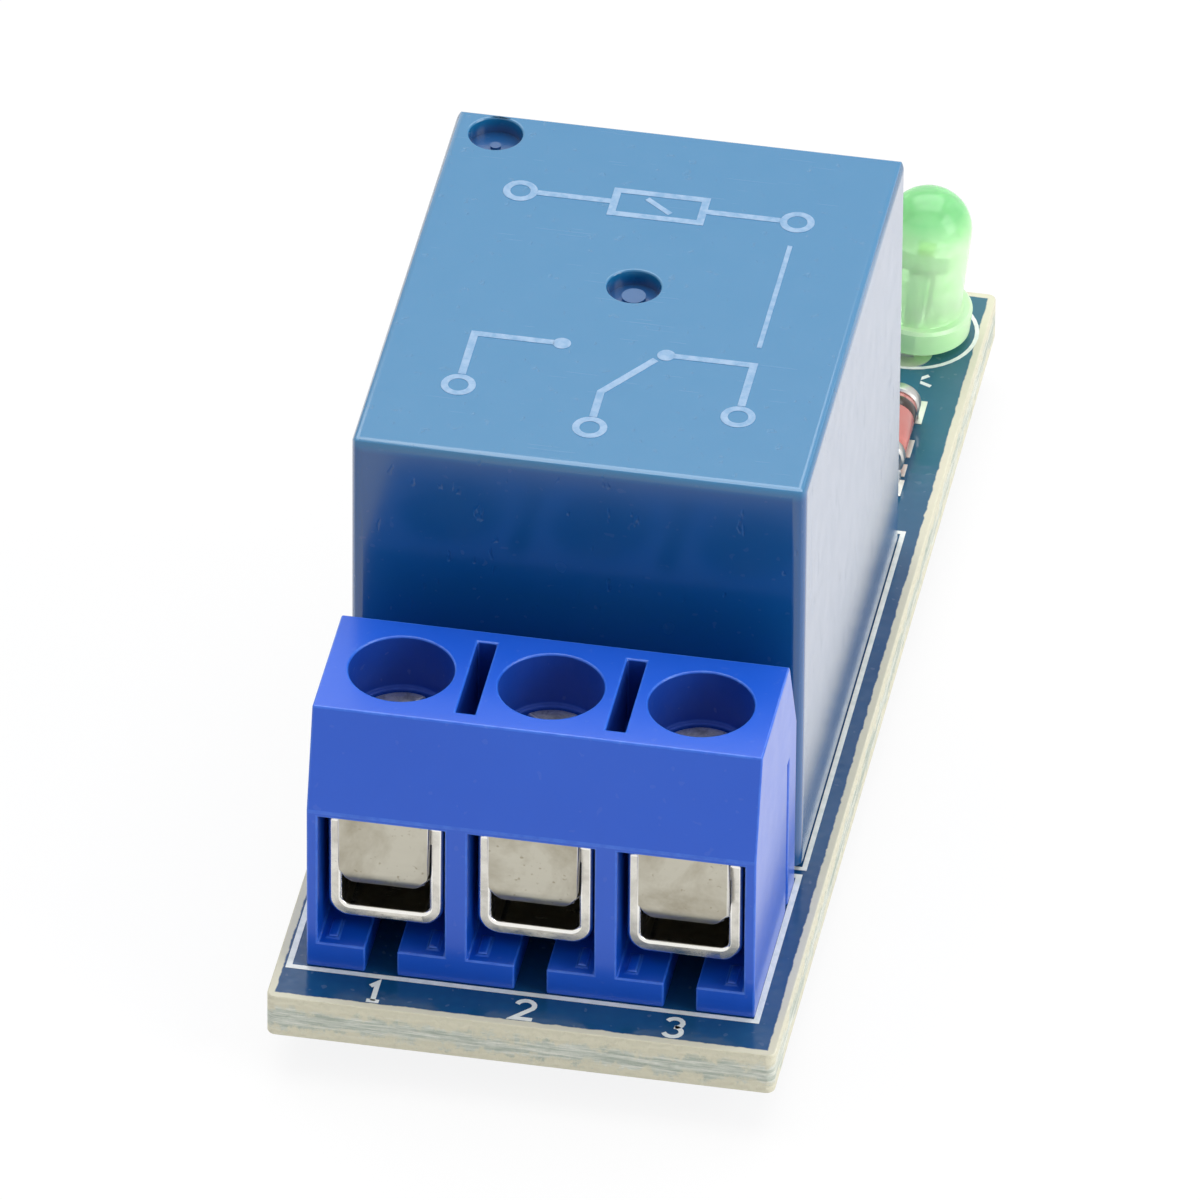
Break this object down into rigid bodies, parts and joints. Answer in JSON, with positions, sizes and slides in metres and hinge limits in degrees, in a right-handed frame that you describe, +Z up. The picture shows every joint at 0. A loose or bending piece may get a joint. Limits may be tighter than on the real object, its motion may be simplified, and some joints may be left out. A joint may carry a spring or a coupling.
{
  "type": "relay module board",
  "caption": "Narrow circuit board with a three-way screw terminal block, a sealed relay with its driver parts, a pin header and an indicator lamp.",
  "frame": {"origin": "under the middle of the board, on the plane that the lead tips stand on", "axes": "+X across the board to the indicator's side, +Y along the board from the wire entries to the control end, +Z up"},
  "size_m": [0.017, 0.043, 0.0188],
  "materials": {
    "board_laminate": "satin solder mask over glass laminate",
    "terminal_plastic": "satin",
    "screw_steel": "zinc plated",
    "cage_nickel": "nickel plated",
    "tinned_brass": "tin plated, satin",
    "relay_plastic": "glossy",
    "base_plastic": "matte",
    "sealing_resin": "satin",
    "bobbin_plastic": "matte",
    "enamelled_copper": "glossy enamel",
    "plated_iron": "nickel plated",
    "rivet_metal": "satin",
    "spring_bronze": "satin",
    "contact_silver": "satin",
    "lamp_resin": "clear tinted",
    "lamp_steel": "tinned",
    "lamp_die": "glossy",
    "diode_glass": "glossy",
    "black_plastic": "matte",
    "resistor_ceramic": "satin",
    "header_gold": "gold plated",
    "solder": "bright"
  },
  "bodies": {
    "board": {"circuit_board": "board_laminate", "terminal_housing": "terminal_plastic", "relay_cover": "relay_plastic", "relay_base": "base_plastic", "base_seal": "sealing_resin", "coil_bobbin": "bobbin_plastic", "coil_winding": "enamelled_copper", "coil_core": "plated_iron", "coil_pin_left": "tinned_brass", "coil_pin_right": "tinned_brass", "magnet_yoke": "plated_iron", "yoke_rivet": "rivet_metal", "common_strip": "tinned_brass", "open_contact_strip": "tinned_brass", "open_contact_button": "contact_silver", "closed_contact_strip": "tinned_brass", "closed_contact_button": "contact_silver", "lamp_lens": "lamp_resin", "lamp_anode": "lamp_steel", "lamp_cathode": "lamp_steel", "lamp_chip": "lamp_die", "diode_glass": "diode_glass", "diode_end_caps": "lamp_steel", "transistor_body": "black_plastic", "transistor_leads": "lamp_steel", "base_resistor": "resistor_ceramic", "lamp_resistor": "resistor_ceramic", "header_strip": "black_plastic", "header_pin_1": "header_gold", "header_pin_2": "header_gold", "header_pin_3": "header_gold", "terminal_solder": "solder", "relay_solder": "solder", "lamp_solder": "solder", "header_solder": "solder", "surface_solder": "solder", "terminal_contact_1": "tinned_brass", "terminal_contact_2": "tinned_brass", "terminal_contact_3": "tinned_brass"},
    "screw_1": {"clamp_screw_1": "screw_steel"},
    "screw_2": {"clamp_screw_2": "screw_steel"},
    "screw_3": {"clamp_screw_3": "screw_steel"},
    "cage_1": {"clamp_cage_1": "cage_nickel"},
    "cage_2": {"clamp_cage_2": "cage_nickel"},
    "cage_3": {"clamp_cage_3": "cage_nickel"},
    "armature": {"armature": "plated_iron", "armature_rivets": "rivet_metal", "moving_contact": "contact_silver", "contact_spring": "spring_bronze"}
  },
  "joints": [
    {"name": "screw_turn_1", "type": "hinge", "parent": "board", "child": "screw_1", "pos_m": [-0.005, -0.01613, 0.01104], "axis": [0, 0, 1], "range_deg": [-792, 360]},
    {"name": "screw_turn_2", "type": "hinge", "parent": "board", "child": "screw_2", "pos_m": [0, -0.01613, 0.01104], "axis": [0, 0, 1], "range_deg": [-792, 360]},
    {"name": "screw_turn_3", "type": "hinge", "parent": "board", "child": "screw_3", "pos_m": [0.005, -0.01613, 0.01104], "axis": [0, 0, 1], "range_deg": [-792, 360]},
    {"name": "cage_lift_1", "type": "slide", "parent": "board", "child": "cage_1", "axis": [0, 0, 1], "range_m": [-0.00045, 0.00099]},
    {"name": "cage_lift_2", "type": "slide", "parent": "board", "child": "cage_2", "axis": [0, 0, 1], "range_m": [-0.00045, 0.00099]},
    {"name": "cage_lift_3", "type": "slide", "parent": "board", "child": "cage_3", "axis": [0, 0, 1], "range_m": [-0.00045, 0.00099]},
    {"name": "armature_swing", "type": "hinge", "parent": "board", "child": "armature", "pos_m": [0, 0.00486, 0.01433], "axis": [1, 0, 0], "range_deg": [0, 4], "stiffness_Nm_per_rad": 0.01, "springref_deg": -7.73, "deforming": ["contact_spring"]}
  ],
  "couplings": [
    {"joint": "screw_turn_1", "follows": "cage_lift_1", "rad_per_m": -13963},
    {"joint": "screw_turn_2", "follows": "cage_lift_2", "rad_per_m": -13963},
    {"joint": "screw_turn_3", "follows": "cage_lift_3", "rad_per_m": -13963}
  ]
}
